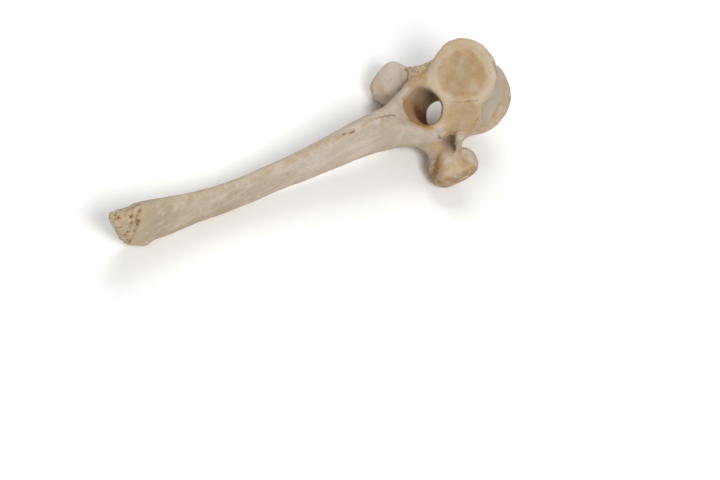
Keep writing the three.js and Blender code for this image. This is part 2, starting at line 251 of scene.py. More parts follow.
# %% [markdown]
# ## The rib's joint face
#
# Beside the disc on each side lies an oval pad for the head of a rib. The left one has a raised rim, a
# slightly hollow middle, and a sharp crease where it meets the disc. The right one is worn and granular.
# The pad slants, so it gets a plane of its own, from a centre, a normal and a turn, and its heights follow
# the share of the oval's radius in that plane.

# %% Pad and crease
PAD_CENTRE = np.array((20.1, -5.9, 20.5))
PAD_NORMAL = np.array((0.62, 0.77, 0.15))
PAD_HALF = (16.5, 12.0)
PAD_TURN = math.radians(18)
CREASE = [(9.0, 0.6, 18.9), (11.8, 0.7, 14.4), (14.6, 0.1, 10.3), (17.6, -1.1, 5.7), (20.5, -3.5, 1.6)]
PAD_LIP = [(18.5, -1.9, 33.6), (21.1, -5.5, 35.3), (26.0, -7.0, 32.0), (29.3, -7.8, 28.4)]
CREASE_DEPTH = 0.75
CREASE_BANK = 0.35
PAD_RIM_HEIGHT = 0.5
PAD_HOLLOW = 0.4
PAD_LIP_HEIGHT = 0.9
UNDERCUT = 1.2
STRUT_CLEARANCE = 5.0

pad_normal = PAD_NORMAL / np.linalg.norm(PAD_NORMAL)
pad_wide = np.cross(pad_normal, (0, 0, 1))
pad_wide /= np.linalg.norm(pad_wide)
pad_long = np.cross(pad_wide, pad_normal)
from_pad = places - PAD_CENTRE
long_part = from_pad @ pad_long
wide_part = from_pad @ pad_wide
pad_u = long_part * math.cos(PAD_TURN) + wide_part * math.sin(PAD_TURN)
pad_v = wide_part * math.cos(PAD_TURN) - long_part * math.sin(PAD_TURN)
pad_radius = np.hypot(pad_u / PAD_HALF[0], pad_v / PAD_HALF[1])
on_pad = soft_step(1.06, 0.96, pad_radius) * soft_step(0.3, 0.7, facing @ pad_normal)
over_pad = from_pad @ pad_normal
on_pad *= soft_step(-6, -3, over_pad) * soft_step(4.5, 2.0, over_pad)
crease_distance, crease_along = from_path(CREASE)
crease_fade = soft_step(0.0, 0.4, crease_along) * soft_step(1.0, 0.75, crease_along)
crease_bank = CREASE_BANK * ridge(crease_distance - 1.9, 0.8)
crease = crease_fade * (crease_bank - CREASE_DEPTH * ridge(crease_distance, 0.9))
pad_lip_distance, pad_lip_along = from_path(PAD_LIP)
lip_fade = soft_step(0.05, 0.35, pad_lip_along)
under_lip = lip_fade * soft_step(0.98, 1.06, pad_radius) * ridge(pad_lip_distance - 2.2, 1.0)
under_lip *= 1 - near(STRUT_ROOT, STRUT_CLEARANCE)
pad_rim = PAD_RIM_HEIGHT * ridge(pad_radius - 0.9, 0.08)
pad_height = on_pad * (pad_rim - PAD_HOLLOW * soft_step(0.8, 0.2, pad_radius))
pad_height += crease + PAD_LIP_HEIGHT * lip_fade * ridge(pad_lip_distance, 1.1) - UNDERCUT * under_lip
print("rib pad points:", int((on_pad > 0.5).sum()))

# %% [markdown]
# ## Lips of the arch and the ridge of the spine
#
# The laminae end caudally in a thin lip round the canal. From the top of the arch a rough ridge, where
# a ligament held on, runs a third of the way along the spine. Small vessels entered beside it through
# slits and pits. Extruded edges would look stuck on. So each form is a path of a few places on the bone,
# and the skin rises or sinks by how near it is to that path.

# %% Lips, ridge and vessel slits
LEFT_LIP = [(-0.4, 6.6, 46.6), (4.1, 4.9, 45.6), (8.9, 3.4, 43.2), (12.8, 2.4, 40.0), (14.2, 0.8, 36.8)]
RIGHT_LIP = [(-6.9, 8.4, 46.2), (-11.5, 2.2, 40.7), (-13.6, -0.2, 35.3), (-14.2, 0.1, 30.0),
             (-10.4, 1.2, 25.8), (-5.4, 0.1, 23.3), (-0.4, -0.2, 22.1), (5.0, 0.0, 23.0)]
RIDGE = [(-1.3, 12.0, 48.5), (-1.5, 21.4, 51.8), (0.0, 35.0, 57.5), (0.0, 38.7, 60.7), (1.4, 42.7, 66.2),
         (1.5, 47.8, 73.6), (0.6, 51.3, 79.3), (-1.0, 58.8, 90.6), (-1.4, 66.1, 102.7)]
SLITS = [((1.6, 46.2, 71.3), (1.7, 47.7, 73.7)), ((0.4, 49.2, 76.0), (0.2, 50.1, 77.4))]
VESSEL_PITS = [(3.6, 92.5, 143.4), (4.5, 86.2, 142.4), (4.7, 66.9, 115.9), (-1.4, 17.0, 50.2),
               (-2.4, 20.0, 51.4), (-0.6, 23.0, 52.4), (-1.8, 26.0, 53.5), (-0.2, 30.0, 55.0)]
LEFT_LIP_HEIGHT = 0.8
RIGHT_LIP_HEIGHT = 0.7
RIDGE_HEIGHT = 0.6
SLIT_DEPTH = 0.8
SLIT_WIDTH = 0.55
VESSEL_PIT_DEPTH = 0.5
VESSEL_PIT_WIDTH = 0.65

left_lip_distance, left_lip_along = from_path(LEFT_LIP)
right_lip_distance, right_lip_along = from_path(RIGHT_LIP)
ridge_distance, ridge_along = from_path(RIDGE)
ridge_fade = soft_step(1.0, 0.75, ridge_along) * soft_step(0.0, 0.1, ridge_along)
lip_height = LEFT_LIP_HEIGHT * soft_step(0.0, 0.3, left_lip_along) * ridge(left_lip_distance, 1.4)
right_lip_fade = soft_step(0.0, 0.2, right_lip_along) * soft_step(1.0, 0.75, right_lip_along)
lip_height += RIGHT_LIP_HEIGHT * right_lip_fade * ridge(right_lip_distance, 1.2)
uneven_ridge = RIDGE_HEIGHT + RIDGE_HEIGHT * grain(places, 2.5, 2)
ridge_height = ridge_fade * uneven_ridge * ridge(ridge_distance, 1.2)
ridge_stain = ridge_fade * soft_step(-0.4, 0.25, grain(places, 4, 21)) * ridge(ridge_distance, 0.6)
slit_depth = np.zeros(len(places))
for slit in SLITS:
    slit_depth += SLIT_DEPTH * ridge(from_path(slit)[0], SLIT_WIDTH)
for pit in VESSEL_PITS:
    slit_depth += VESSEL_PIT_DEPTH * near(pit, VESSEL_PIT_WIDTH)
print("slits and pits:", len(SLITS) + len(VESSEL_PITS))

# %% [markdown]
# ## Rims of the transverse processes
#
# The paddle on each side carried a rib's tubercle and held strong muscles. Its outer edge is a low
# rounded rim, the face inside it is slightly sunk and slopes away dorsally, and the whole is lumpy.
# A bevel modifier would round every edge alike, so the rims are paths too, each with its own height.

# %% Rims and lumps
LEFT_RIM = [(36.0, -13.5, 56.5), (41.5, -14.5, 51.5), (43.5, -14.5, 46.0), (45.2, -15.5, 39.0),
            (44.8, -16.0, 33.0)]
RIGHT_RIM = [(-33.0, -12.5, 57.0), (-39.0, -13.2, 53.0), (-44.0, -15.0, 45.0), (-43.5, -14.5, 38.0)]
RIGHT_EDGE = [(-36.5, -12.7, 32.5), (-32.0, -8.8, 32.4), (-28.8, -7.2, 33.2), (-27.0, -8.3, 35.7),
              (-26.6, -10.4, 38.5), (-26.4, -12.2, 41.8)]
RIGHT_GROOVE = [(-32.0, -9.3, 29.8), (-26.5, -5.8, 31.0), (-24.6, -6.7, 33.8), (-24.2, -9.0, 37.0)]
LEFT_HOOK = (33.5, -12.5, 57.5)
BEVEL_START = (32, 46)
BEVEL_SLOPE = 0.6
LEFT_RIM_HEIGHT = 0.8
RIGHT_RIM_HEIGHT = 0.4
RIGHT_EDGE_HEIGHT = 0.6
RIM_GROOVE_DEPTH = 0.25
EDGE_GROOVE_DEPTH = 1.1
BEVEL_DEPTH = 3.6
HOOK_HEIGHT = 1.4
WING_SINK = 0.2

left_wing = soft_step(22, 29, left) * soft_step(28, 35, dorsal)
right_wing = soft_step(-22, -29, left) * soft_step(28, 35, dorsal)
wings = np.maximum(left_wing, right_wing)
left_rim_distance = from_path(LEFT_RIM)[0]
rim_height = LEFT_RIM_HEIGHT * ridge(left_rim_distance, 1.4)
rim_height += RIGHT_RIM_HEIGHT * ridge(from_path(RIGHT_RIM)[0], 1.8)
rim_groove = left_wing * soft_step(44, 42, left) * ridge(left_rim_distance - 2.6, 0.9)
edge_groove = ridge(from_path(RIGHT_GROOVE)[0], 1.3)
rim_height += RIGHT_EDGE_HEIGHT * ridge(from_path(RIGHT_EDGE)[0], 1.5) - EDGE_GROOVE_DEPTH * edge_groove
bevel_place = (dorsal - BEVEL_START[1]) - BEVEL_SLOPE * (left - BEVEL_START[0])
bevel = left_wing * soft_step(-3, 13, bevel_place) * soft_step(0.3, 0.8, facing[:, 1])
wing_height = rim_height - RIM_GROOVE_DEPTH * rim_groove - BEVEL_DEPTH * bevel
wing_height += HOOK_HEIGHT * near(LEFT_HOOK, 2.2)
wing_height += wings * (0.4 * grain(places, 7, 11) + 0.2 * grain(places, 3.5, 16) - WING_SINK)
print("wing points:", int((wings > 0.5).sum()))

# %% [markdown]
# ## The spongy tip and the granular strip
#
# Cartilage capped the tip of the spine in life. Without it the tip is rough and spongy, with pits of one
# to three millimetres, and a low step shows where the smooth shaft ends. A strip on the right side of the
# arch is granular in the same way, only finer. Pits that are cut with booleans would have sharp rims, so
# cell noise gives them: each cell has one middle, and the skin sinks close to it.

# %% Spongy bone
TIP_STATION = 241.0
TIP_BUMP = (-0.8, 158.8, 179.0)
TIP_WORN = (-4.5, 163.0, 186.5)
TIP_CORNER = (2.5, 120.0, 199.5)
TIP_PITS = [(-2.6, 156.9, 180.6), (1.3, 157.3, 181.4), (4.8, 153.8, 186.4), (4.9, 152.0, 188.5),
            (1.3, 168.4, 191.0), (5.3, 152.5, 195.8), (5.2, 142.2, 200.0), (3.0, 160.5, 186.0),
            (4.4, 158.0, 189.5), (4.6, 150.5, 199.0)]
STRIP = [(-28.0, -6.5, 30.5), (-26.5, -7.5, 25.0), (-23.0, -9.5, 10.0)]
PIT_CELL = 2.6
PIT_SHARE = 0.44
PIT_REACH = 0.45
PIT_SPREAD = 5.7
TIP_PIT_DEPTH = 1.4
TIP_SINK = 0.35
STRIP_SINK = 0.6
TIP_BUMP_HEIGHT = 3.0
TIP_WORN_DEPTH = 2.6
TIP_CORNER_HEIGHT = 1.8


def cell_pits(at, size, share):
    """1 in the middle of a pit, 0 outside. Only a share of the cells of the given size holds a pit."""
    depths = np.zeros(len(at))
    for number, place in enumerate(at):
        distances, middles = noise.voronoi(Vector(place) / size)
        chosen = 0.5 + 0.5 * noise.noise(middles[0] * PIT_SPREAD)
        if chosen < share:
            depths[number] = max(0.0, 1 - distances[0] / PIT_REACH)
    return depths


tip_edge = station - TIP_STATION - 2.2 * grain(places, 7, 3)
on_tip = soft_step(-2, 2, tip_edge)
strip_distance = from_path(STRIP)[0] + 1.2 * grain(places, 4, 12)
off_disc = soft_step(1.02, 1.12, disc_radius)
on_strip = soft_step(8.5, 5.0, strip_distance) * soft_step(0.5, 0.2, right_wing) * off_disc
spongy = np.flatnonzero((on_tip > 0.01) | (on_strip > 0.01))
cell_depth = np.zeros(len(places))
cell_depth[spongy] = cell_pits(places[spongy], PIT_CELL, PIT_SHARE)
worm_tracks = on_tip * ridge(grain(places, 4.5, 17), 0.1)
worm_tracks *= soft_step(0.1, 0.3, grain(places, 6, 18))
tip_height = on_tip * (0.8 * grain(places, 8, 4) + 0.9 * grain(places, 3.2, 5) - TIP_SINK)
tip_height += TIP_BUMP_HEIGHT * near(TIP_BUMP, 2.4) - TIP_WORN_DEPTH * near(TIP_WORN, 6.0)
tip_height += TIP_CORNER_HEIGHT * near(TIP_CORNER, 4.5)
strip_height = on_strip * (0.35 * grain(places, 2.2, 6) - STRIP_SINK)
cell_depth = cell_depth * np.maximum(1.3 * on_tip, 0.6 * on_strip) + 0.8 * worm_tracks
for pit in TIP_PITS:
    cell_depth = np.maximum(cell_depth, TIP_PIT_DEPTH * near(pit, 1.2 + 0.3 * grain(places, 1.5, 19)))
print("spongy points:", len(spongy))

# %% [markdown]
# ## Under the body
#
# The underside of the body is pinched in at the waist and carries a low keel. Beside the keel the vessels
# that fed the bone entered through a pair of nutrient holes. Drilling them with a boolean would break the
# even net, and from outside a deep round dent looks the same.

# %% Keel and nutrient holes under the body
NUTRIENT_HOLES = [(5.5, -20.0), (-6.0, -23.0)]
HOLE_WIDTH = 1.1
HOLE_DEPTH = 1.4
KEEL_HEIGHT = 0.7
KEEL_WIDTH = 3.5

under_body = soft_step(-0.4, -0.8, facing[:, 2]) * soft_step(0, -6, dorsal) * soft_step(-4, -12, caudal)
keel_height = KEEL_HEIGHT * under_body * soft_step(-38, -32, caudal) * ridge(left + 1, KEEL_WIDTH)
holes = np.zeros(len(places))
for hole_left, hole_caudal in NUTRIENT_HOLES:
    holes += under_body * ridge(np.hypot(left - hole_left, caudal - hole_caudal), HOLE_WIDTH)
print("points under the body:", int((under_body > 0.5).sum()))

# %% [markdown]
# ## Uneven growth
#
# No bone surface is truly smooth. Low swellings a centimetre wide, and finer ones of a few millimetres,
# break the highlights. Along the spine they are drawn out, because the fibres of the bone run that way.
# A displace modifier could add them one by one. Here they are summed with all the other heights, so that
# the skin is moved only once and every height is measured on the same smooth form.

# %% Put all heights on the skin
FIBRE_SLANT = math.radians(13)
FIBRE_STRETCH = 6


def raise_skin(height):
    """Moves every point of the skin along its normal by a height in millimetres."""
    points = read(bone.data.vertices, "co")
    normals = read(bone.data.vertices, "normal")
    points += normals * (height * MM)[:, None]
    bone.data.vertices.foreach_set("co", points.ravel())
    bone.data.update()


across = depth + math.tan(FIBRE_SLANT) * station
drawn_out = np.stack((left, across, station / FIBRE_STRETCH), axis=1)
on_shaft = soft_step(35, 75, station) * (1 - on_tip)
swellings = 0.32 * grain(places, 14, 7) + 0.18 * grain(places, 5, 8) + 0.06 * grain(places, 2.2, 23)
fibre_fade = on_shaft * soft_step(235, 165, station)
fibres = 0.22 * grain(drawn_out, 7, 9) + 0.1 * grain(drawn_out, 2.6, 10)
fibres *= 0.3 * on_shaft + 0.7 * fibre_fade
quiet = 1 - 0.6 * np.maximum(on_disc, on_pad)
raise_skin(disc_height + pad_height + lip_height + ridge_height + wing_height + tip_height + strip_height
           + keel_height - HOLE_DEPTH * holes - slit_depth - cell_depth + quiet * swellings + fibres)
apply_modifier("SMOOTH", factor=0.3, iterations=1)
bpy.ops.object.shade_smooth()
print("fibres stand up to", round(float(fibres.max()), 2), "mm proud")

# %% [markdown]
# ## Hollows and edges
#
# Soil stays in hollows, and the hollows are also darkened as painted shade. Edges stain a warm tan. Both are
# found from the shape alone: the net is evened out step by step, and a point that ends up outwards of where
# it was lay in a hollow. A pointiness node would find them too, but it can't tell a broad hollow from a fine
# one.

# %% Measure hollows and edges
FINE_STEPS = 12
BROAD_STEPS = 90


def neighbour_mean(values, first, second, count):
    """The mean of each point's neighbours on the net."""
    forward = np.bincount(first, values[second], len(values))
    backward = np.bincount(second, values[first], len(values))
    return (forward + backward) / count


def outward_pull(steps):
    """How far in millimetres evening out the net moves each point along its normal."""
    edges = np.empty(len(bone.data.edges) * 2, int)
    bone.data.edges.foreach_get("vertices", edges)
    first, second = edges.reshape(-1, 2).T
    points = read(bone.data.vertices, "co") / MM
    count = np.bincount(edges, minlength=len(points))
    evened = points.copy()
    for _ in range(steps):
        for axis in range(3):
            evened[:, axis] = (evened[:, axis] + neighbour_mean(evened[:, axis], first, second, count)) / 2
    return np.einsum("ij,ij->i", evened - points, read(bone.data.vertices, "normal"))


fine_pull = outward_pull(FINE_STEPS)
broad_pull = outward_pull(BROAD_STEPS)
hollow = np.clip(soft_step(0.08, 0.4, fine_pull) + soft_step(0.5, 2.2, broad_pull), 0, 1)
edge = soft_step(-0.08, -0.3, fine_pull)
print("hollow points:", int((hollow > 0.5).sum()), "edge points:", int((edge > 0.5).sum()))

# %% [markdown]
# ## Where each finish lies
#
# The colours of a dry bone follow its anatomy: joint faces keep the tan of old cartilage, hollows hold
# soil, weathered faces bleach grey white. Painted shade darkens the canal, its openings and holes, and
# painted light makes the canal's wall that faces the lamps paler. Each finish is a mask from 0 to 1 that is
# kept on the mesh as a named attribute, so the material can read it and it stays with the piece.

# %% Masks for the canal and the openings


def keep_mask(name, *values):
    """Keeps the largest of some values at each point on the mesh, under a name that the material reads."""
    layer = bone.data.attributes.new(name, "FLOAT", "POINT")
    largest = np.maximum.reduce(values)
    layer.data.foreach_set("value", np.clip(largest, 0, 1).astype(np.float32))


CANAL_CENTRE = (0.0, 33.0)
CANAL_HALF = (12.0, 10.0)
# The direction, across the canal, of the side of its wall that faces the lamps.
LIT_SIDE = (-0.78, -0.61)
LEFT_OPENING = (22.0, -17.5, 36.0)
RIGHT_OPENING = (-21.0, -27.0, 32.0)
OPENING_WIDTH = 5.0

over_centre = dorsal - CANAL_CENTRE[1]
from_axis = np.stack((left, np.zeros(len(left)), over_centre), axis=1)
inward = -np.einsum("ij,ij->i", from_axis, facing) / np.linalg.norm(from_axis, axis=1)
canal_radius = oval_radius(CANAL_CENTRE, CANAL_HALF)
in_canal = soft_step(1.6, 1.4, canal_radius) * soft_step(0.34, 0.46, inward)
in_canal *= soft_step(4.2, 3.0, caudal) * soft_step(-50, -42, caudal)
mouth = in_canal * soft_step(-14, -2, caudal)
# Painted light: the side of the canal's wall that faces the lamps is made paler, and the painted shade is
# kept off it.
lit_wall = soft_step(0, 10, LIT_SIDE[0] * left + LIT_SIDE[1] * over_centre)
deep_shade = in_canal * soft_step(0, -16, caudal) * (1 - 0.85 * lit_wall)
in_openings = np.maximum(near(LEFT_OPENING, OPENING_WIDTH), near(RIGHT_OPENING, OPENING_WIDTH))
keep_mask("canal", in_canal)
keep_mask("canal_lit_wall", in_canal * soft_step(0.3, 1.0, lit_wall) * soft_step(-26, -6, caudal))
# Painted shade: the canal darkens deeper in and at its mouth, and the openings, the gap under the pad's lip
# and the nutrient holes are darkened too.
mouth_shade = 0.5 * mouth * (1 - 0.8 * lit_wall)
keep_mask("deep_shade", deep_shade, mouth_shade, 0.7 * in_openings, 0.8 * under_lip, 0.8 * holes)
print("canal points:", int((in_canal > 0.5).sum()))

# %% [markdown]
# ## Joint faces
#
# Cartilage kept the joint faces from bleaching. They stay tan, with a browner heart where it was thickest
# and a paler ring outside. The heart could be a plain ellipse, but on the real bone its edge wanders, so
# noise is added to the radius before the mask is cut.

# %% Joint faces and their brown hearts
HEART_CENTRE = (-1.0, 2.0)
HEART_HALF = (16.5, 15.5)
PALE_PATCH = (10.1, -2.1, 1.5)
PALE_PATCH_WIDTH = 3.5
PALE_SIDE = (0.54, -0.77)

pale_patch = near(PALE_PATCH, PALE_PATCH_WIDTH)
heart_radius = oval_radius(HEART_CENTRE, HEART_HALF)
heart_radius += 0.16 * grain(places, 7, 13) + 0.08 * grain(places, 3, 15)
heart = on_disc * soft_step(1.06, 0.86, heart_radius) * (1 - 0.8 * pale_patch)
pad_heart = on_pad * soft_step(0.95, 0.75, pad_radius + 0.2 * wander)
head = soft_step(-0.3, -0.7, facing[:, 1]) * soft_step(-36, -44, caudal) * soft_step(24, 18, dorsal)
body = soft_step(27, 20, dorsal)
disc_side = body * soft_step(-14, -8, caudal) * soft_step(-6, 2, left)
keep_mask("joint_face", on_disc, on_pad, 0.8 * head, 0.7 * disc_side)
keep_mask("heart", heart, 0.9 * pad_heart)
towards_pale = PALE_SIDE[0] * left + PALE_SIDE[1] * dorsal
pale_ring = on_disc * soft_step(0.66, 0.8, disc_radius) * soft_step(-6, 10, towards_pale)
keep_mask("pale_ring", pale_ring, on_disc * pale_patch)
print("joint face points:", int((np.maximum(on_disc, on_pad) > 0.5).sum()))

# %% [markdown]
# ## Weathered places, painted shade and highlight
#
# Sun and rain bleached the flanks of the body, the left side of the arch and the right paddle. Old fat kept
# the left paddle and the bridge beside the canal tan. The front edge of the spine is made tan as painted
# shade, and its broad side lighter with chalk as a painted highlight. Weight painting by hand could give
# such masks too, but places and directions on the bone say why each one lies where it does.

# %% Bleached and tan places, painted edge shade and face highlight
WING_ROOT = (21.0, -11.0, 43.0)
WING_ROOT_WIDTH = 7.0

flank = body * soft_step(4, 10, np.abs(left)) * soft_step(-8, -13, caudal) * soft_step(-36, -32, caudal)
cranial_rim = body * soft_step(-31, -34, caudal) * soft_step(-47, -43, caudal)
bridge = soft_step(-8, -13, left) * soft_step(-27, -23, left) * soft_step(38, 32, dorsal)
bridge *= soft_step(6, 12, dorsal) * soft_step(-16, -8, caudal) * soft_step(1.0, 1.1, disc_radius)
spine_back = facing[:, 1] * math.cos(SPINE_LEAN) - facing[:, 2] * math.sin(SPINE_LEAN)
back_edge = on_shaft * soft_step(0.75, 0.98, spine_back) * soft_step(100, 120, station)
back_edge *= soft_step(215, 190, station)
# Painted shade: the spine's front edge, which turns away from the lamps, is made tan.
front_edge_shade = soft_step(15, 40, station) * soft_step(0.2, -0.5, spine_back)
front_edge_shade *= soft_step(36, 44, dorsal) * (1 - wings) * (1 - on_tip)
# Painted highlight: the spine's broad side, where it faces sideways, is lightened with chalk.
spine_face_highlight = on_shaft * soft_step(0.6, 0.95, np.abs(facing[:, 0])) * soft_step(190, 110, station)
wing_root = near(WING_ROOT, WING_ROOT_WIDTH)
wing_top = right_wing * soft_step(46, 54, dorsal)
arch_side = soft_step(0.5, 0.9, facing[:, 0]) * soft_step(25, 34, station) * soft_step(75, 55, station)
arch_side *= soft_step(38, 44, dorsal) * (1 - left_wing) * soft_step(-0.5, 0.2, grain(places, 8, 24))
keep_mask("bleached", 0.95 * flank, arch_side)
keep_mask("chalky_and_highlight", right_wing * soft_step(54, 44, dorsal), 0.4 * spine_face_highlight)
keep_mask("tan", bridge, 0.85 * left_wing, 0.8 * cranial_rim, 0.5 * wing_top, wing_root, 0.18 * back_edge,
          0.5 * front_edge_shade)
keep_mask("yellowing", soft_step(90, 240, station))
print("bleached points:", int((np.maximum(flank, arch_side) > 0.5).sum()))

# %% [markdown]
# ## Stains and painted shade
#
# Soil water dried along edges and in grooves and left brown lines there, and an orange one on the lip of the
# arch. They follow paths as the raised forms do. A line of even strength would look drawn with a pen, so
# noise breaks it up and its ends fade. The same brown mask also holds painted shade on the left paddle: on
# its face where it slopes away from the lamps, and, together with stain, on its lateral side.

# %% Stained and shaded places
DISC_EDGE = [(-8.7, -2.4, -18.0), (0.5, -2.1, -17.9), (6.0, -2.5, -17.0), (12.0, -4.0, -14.5),
             (14.5, -10.0, -9.0), (17.2, -13.0, -2.2), (17.5, -17.0, 3.2)]
FLANK_EDGE = [(5.7, -27.6, -13.2), (12.1, -32.5, -9.4), (16.7, -32.7, -4.9), (18.3, -31.4, -1.3),
              (22.0, -33.1, 5.9), (23.7, -35.4, 14.4)]
PAD_EDGE = [(20.5, -3.5, 1.6), (22.1, -9.6, 6.4), (24.9, -8.8, 11.3), (26.3, -10.5, 16.0),
            (27.3, -13.2, 21.0)]
STRIP_EDGE = [(-26.6, -8.5, 36.1), (-21.3, -3.2, 29.5), (-19.5, -2.9, 24.3), (-18.9, -3.2, 18.4)]
STAIN_WIDTH = 0.8

stain_lines = np.zeros(len(places))
for line in (DISC_EDGE, FLANK_EDGE, PAD_EDGE):
    distance, along = from_path(line)
    ends = soft_step(0.0, 0.3, along) * soft_step(1.0, 0.7, along)
    broken = soft_step(-0.3, 0.3, grain(places, 5, 20))
    stain_lines = np.maximum(stain_lines, ends * broken * ridge(distance, STAIN_WIDTH))
# Painted shade: the left paddle's face darkens where it slopes away dorsally from the lamps, and its lateral
# side browns, partly stain and partly painted shade.
wing_shade = left_wing * soft_step(-3, 6, bevel_place) * soft_step(0.0, 0.4, facing[:, 1])
wing_side_stain_and_shade = left_wing * soft_step(0.4, 0.8, facing[:, 0])
crease_stain = crease_fade * soft_step(-0.4, 0.3, grain(places, 5, 22))
crease_stain *= ridge(crease_distance, STAIN_WIDTH)
strip_stain = ridge(from_path(STRIP_EDGE)[0], STAIN_WIDTH)
keep_mask("stain_and_shade", 0.4 * ridge_stain, wing_shade, 0.2 * rim_groove, 0.5 * stain_lines, 0.65 * wing_side_stain_and_shade,
          0.6 * edge_groove, 0.3 * crease_stain, 0.5 * strip_stain)
keep_mask("lip", soft_step(0.0, 0.2, left_lip_along) * ridge(left_lip_distance, 2.0), 0.3 * bridge)
print("points on stain lines:", int((stain_lines > 0.5).sum()))

# %% [markdown]
# ## Finishes that follow the forms
#
# The last masks come straight from the forms: where the skin was made spongy, pitted or fibrous, and where
# hollows and edges were measured. They could be found anew from the shape, but the heights are at hand, and
# using them keeps colour and form together.

# %% Masks from the forms
DARK_SLIT = 0.6
DARK_PIT = 0.9

keep_mask("spongy", soft_step(-16, 3, tip_edge), on_strip)
keep_mask("granular", on_strip, 0.4 * on_tip)
# The pits mask darkens each pit and slit by its depth, partly dirt and partly painted shade.
keep_mask("pits", slit_depth / DARK_SLIT, cell_depth / DARK_PIT)
keep_mask("shaft", 0.35 * on_shaft, fibre_fade, 0.7 * arch_side)
keep_mask("hollow", hollow)
keep_mask("edge", edge)
print("masks:", ", ".join(layer.name for layer in bone.data.attributes if layer.data_type == "FLOAT"))

# %% [markdown]
# ## Hair cracks
#
# Dry bone shows brown lines as thin as the net of the skin or thinner: along the ridge, the lips and the
# edges of the joint faces. A mask would be too coarse for them. So the mesh keeps how far each point lies to
# one side of its nearest line, which changes evenly from point to point, and the material draws the line
# where that value passes through the middle.

# %% Lines for hair cracks
CRACK_REACH = 4.0
PAD_FOOT = [(20.9, -5.2, 36.6), (21.2, -5.7, 33.0), (21.5, -6.7, 30.4), (22.5, -8.4, 28.6),
            (23.8, -9.4, 26.6), (24.3, -9.8, 24.8), (25.5, -10.2, 20.2)]
CRACKS = [(RIDGE[:4], 1.0), (LEFT_LIP, 0.9), (PAD_FOOT, 1.0), (CREASE, 0.45), (DISC_EDGE, 0.35),
          (PAD_EDGE, 0.5)]


def beside(path):
    """How far each point lies to one side of a path, measured along the skin."""
    path = np.array(path, float)
    nearest = np.full(len(places), np.inf)
    sideways = np.zeros(len(places))
    for start, leg in zip(path[:-1], path[1:] - path[:-1]):
        share = np.clip(((places - start) @ leg) / (leg @ leg), 0, 1)
        offset = places - start - share[:, None] * leg
        distance = np.linalg.norm(offset, axis=1)
        to_side = np.cross(leg / np.linalg.norm(leg), facing)
        closer = distance < nearest
        nearest[closer] = distance[closer]
        sideways[closer] = np.einsum("ij,ij->i", offset, to_side)[closer]
    return sideways


nearest_crack = np.full(len(places), CRACK_REACH)
crack_side = np.full(len(places), CRACK_REACH)
crack_share = np.zeros(len(places))
for path, strength in CRACKS:
    distance, along = from_path(path)
    share = soft_step(0.0, 0.1, along) * soft_step(1.0, 0.75, along)
    share *= soft_step(CRACK_REACH, CRACK_REACH / 2, distance)
    closer = distance < nearest_crack
    nearest_crack[closer] = distance[closer]
    crack_side[closer] = beside(path)[closer]
    crack_share[closer] = strength * share[closer]
keep_mask("crack", crack_share)
keep_mask("crack_side", 0.5 + 0.5 * crack_side / CRACK_REACH)
print("cracks:", len(CRACKS))

# %% [markdown]
# ## Dry bone
#
# The material could be wired by hand in the shader editor. In a script the wiring grows long, so small
# helpers each add one node or one layer, and the steps after this one read like a recipe.

# %% Helpers for the bone's nodes
material = bpy.data.materials.new("dry_bone")
material.use_nodes = True
tree = material.node_tree
shader = tree.nodes["Principled BSDF"]


def fill(socket, value):
    """Sets a socket, or links it where the value is another node's socket."""
    if isinstance(value, bpy.types.NodeSocket):
        tree.links.new(value, socket)
    else:
        socket.default_value = value


def add(kind, **values):
    """Adds a node and fills the sockets named by the values."""
    made = tree.nodes.new(kind)
    for name, value in values.items():
        fill(made.inputs[name.replace("_", " ")], value)
    return made


def mask(name):
    """The value of a mask that is kept on the mesh."""
    made = tree.nodes.new("ShaderNodeAttribute")
    made.attribute_name = name
    return made.outputs["Fac"]


def reckon(operation, first, second):
    """The result of an operation on two values or sockets."""
    made = tree.nodes.new("ShaderNodeMath")
    made.operation = operation
    fill(made.inputs[0], first)
    fill(made.inputs[1], second)
    return made.outputs[0]


def lay_over(under, colour, share):
    """Lays a colour over another one by a share from 0 to 1."""
    made = tree.nodes.new("ShaderNodeMix")
    made.data_type = "RGBA"
    fill(made.inputs["Factor"], share)
    fill(made.inputs[6], under)
    fill(made.inputs[7], colour)
    return made.outputs[2]


def between(value, low, high):
    """0 at low, 1 at high and a straight line between."""
    return add("ShaderNodeMapRange", Value=value, From_Min=low, From_Max=high).outputs["Result"]


def part_of(name, pattern, strength=1.0):
    """A mask broken up by a pattern."""
    return reckon("MULTIPLY", reckon("MULTIPLY", mask(name), pattern), strength)


print("bone shader:", shader.name)

# %% [markdown]
# ## Patterns
#
# Bone is blotchy at every scale. Three noises, with lumps from two centimetres down to one and a half
# millimetres, and streaks drawn out along the fibres of the spine break up the masks, so that no finish
# ends in a clean line. A painted texture would need unwrapping and show seams. Noise on Object coordinates
# needs neither.

# %% Patterns in the bone
LARGE, MIDDLE, FINE = 45, 170, 650
GRAIN_CELLS = 560
FIBRE_SIZE = (0.035, 0.0045, 0.0045)
FIBRE_TURN = SPINE_LEAN + LIE - math.pi / 2 - FIBRE_SLANT
BROAD_WOBBLE = 0.4
FINE_WOBBLE = 0.2
CRACK_EDGE = 0.055
CRACK_CORE = 0.015

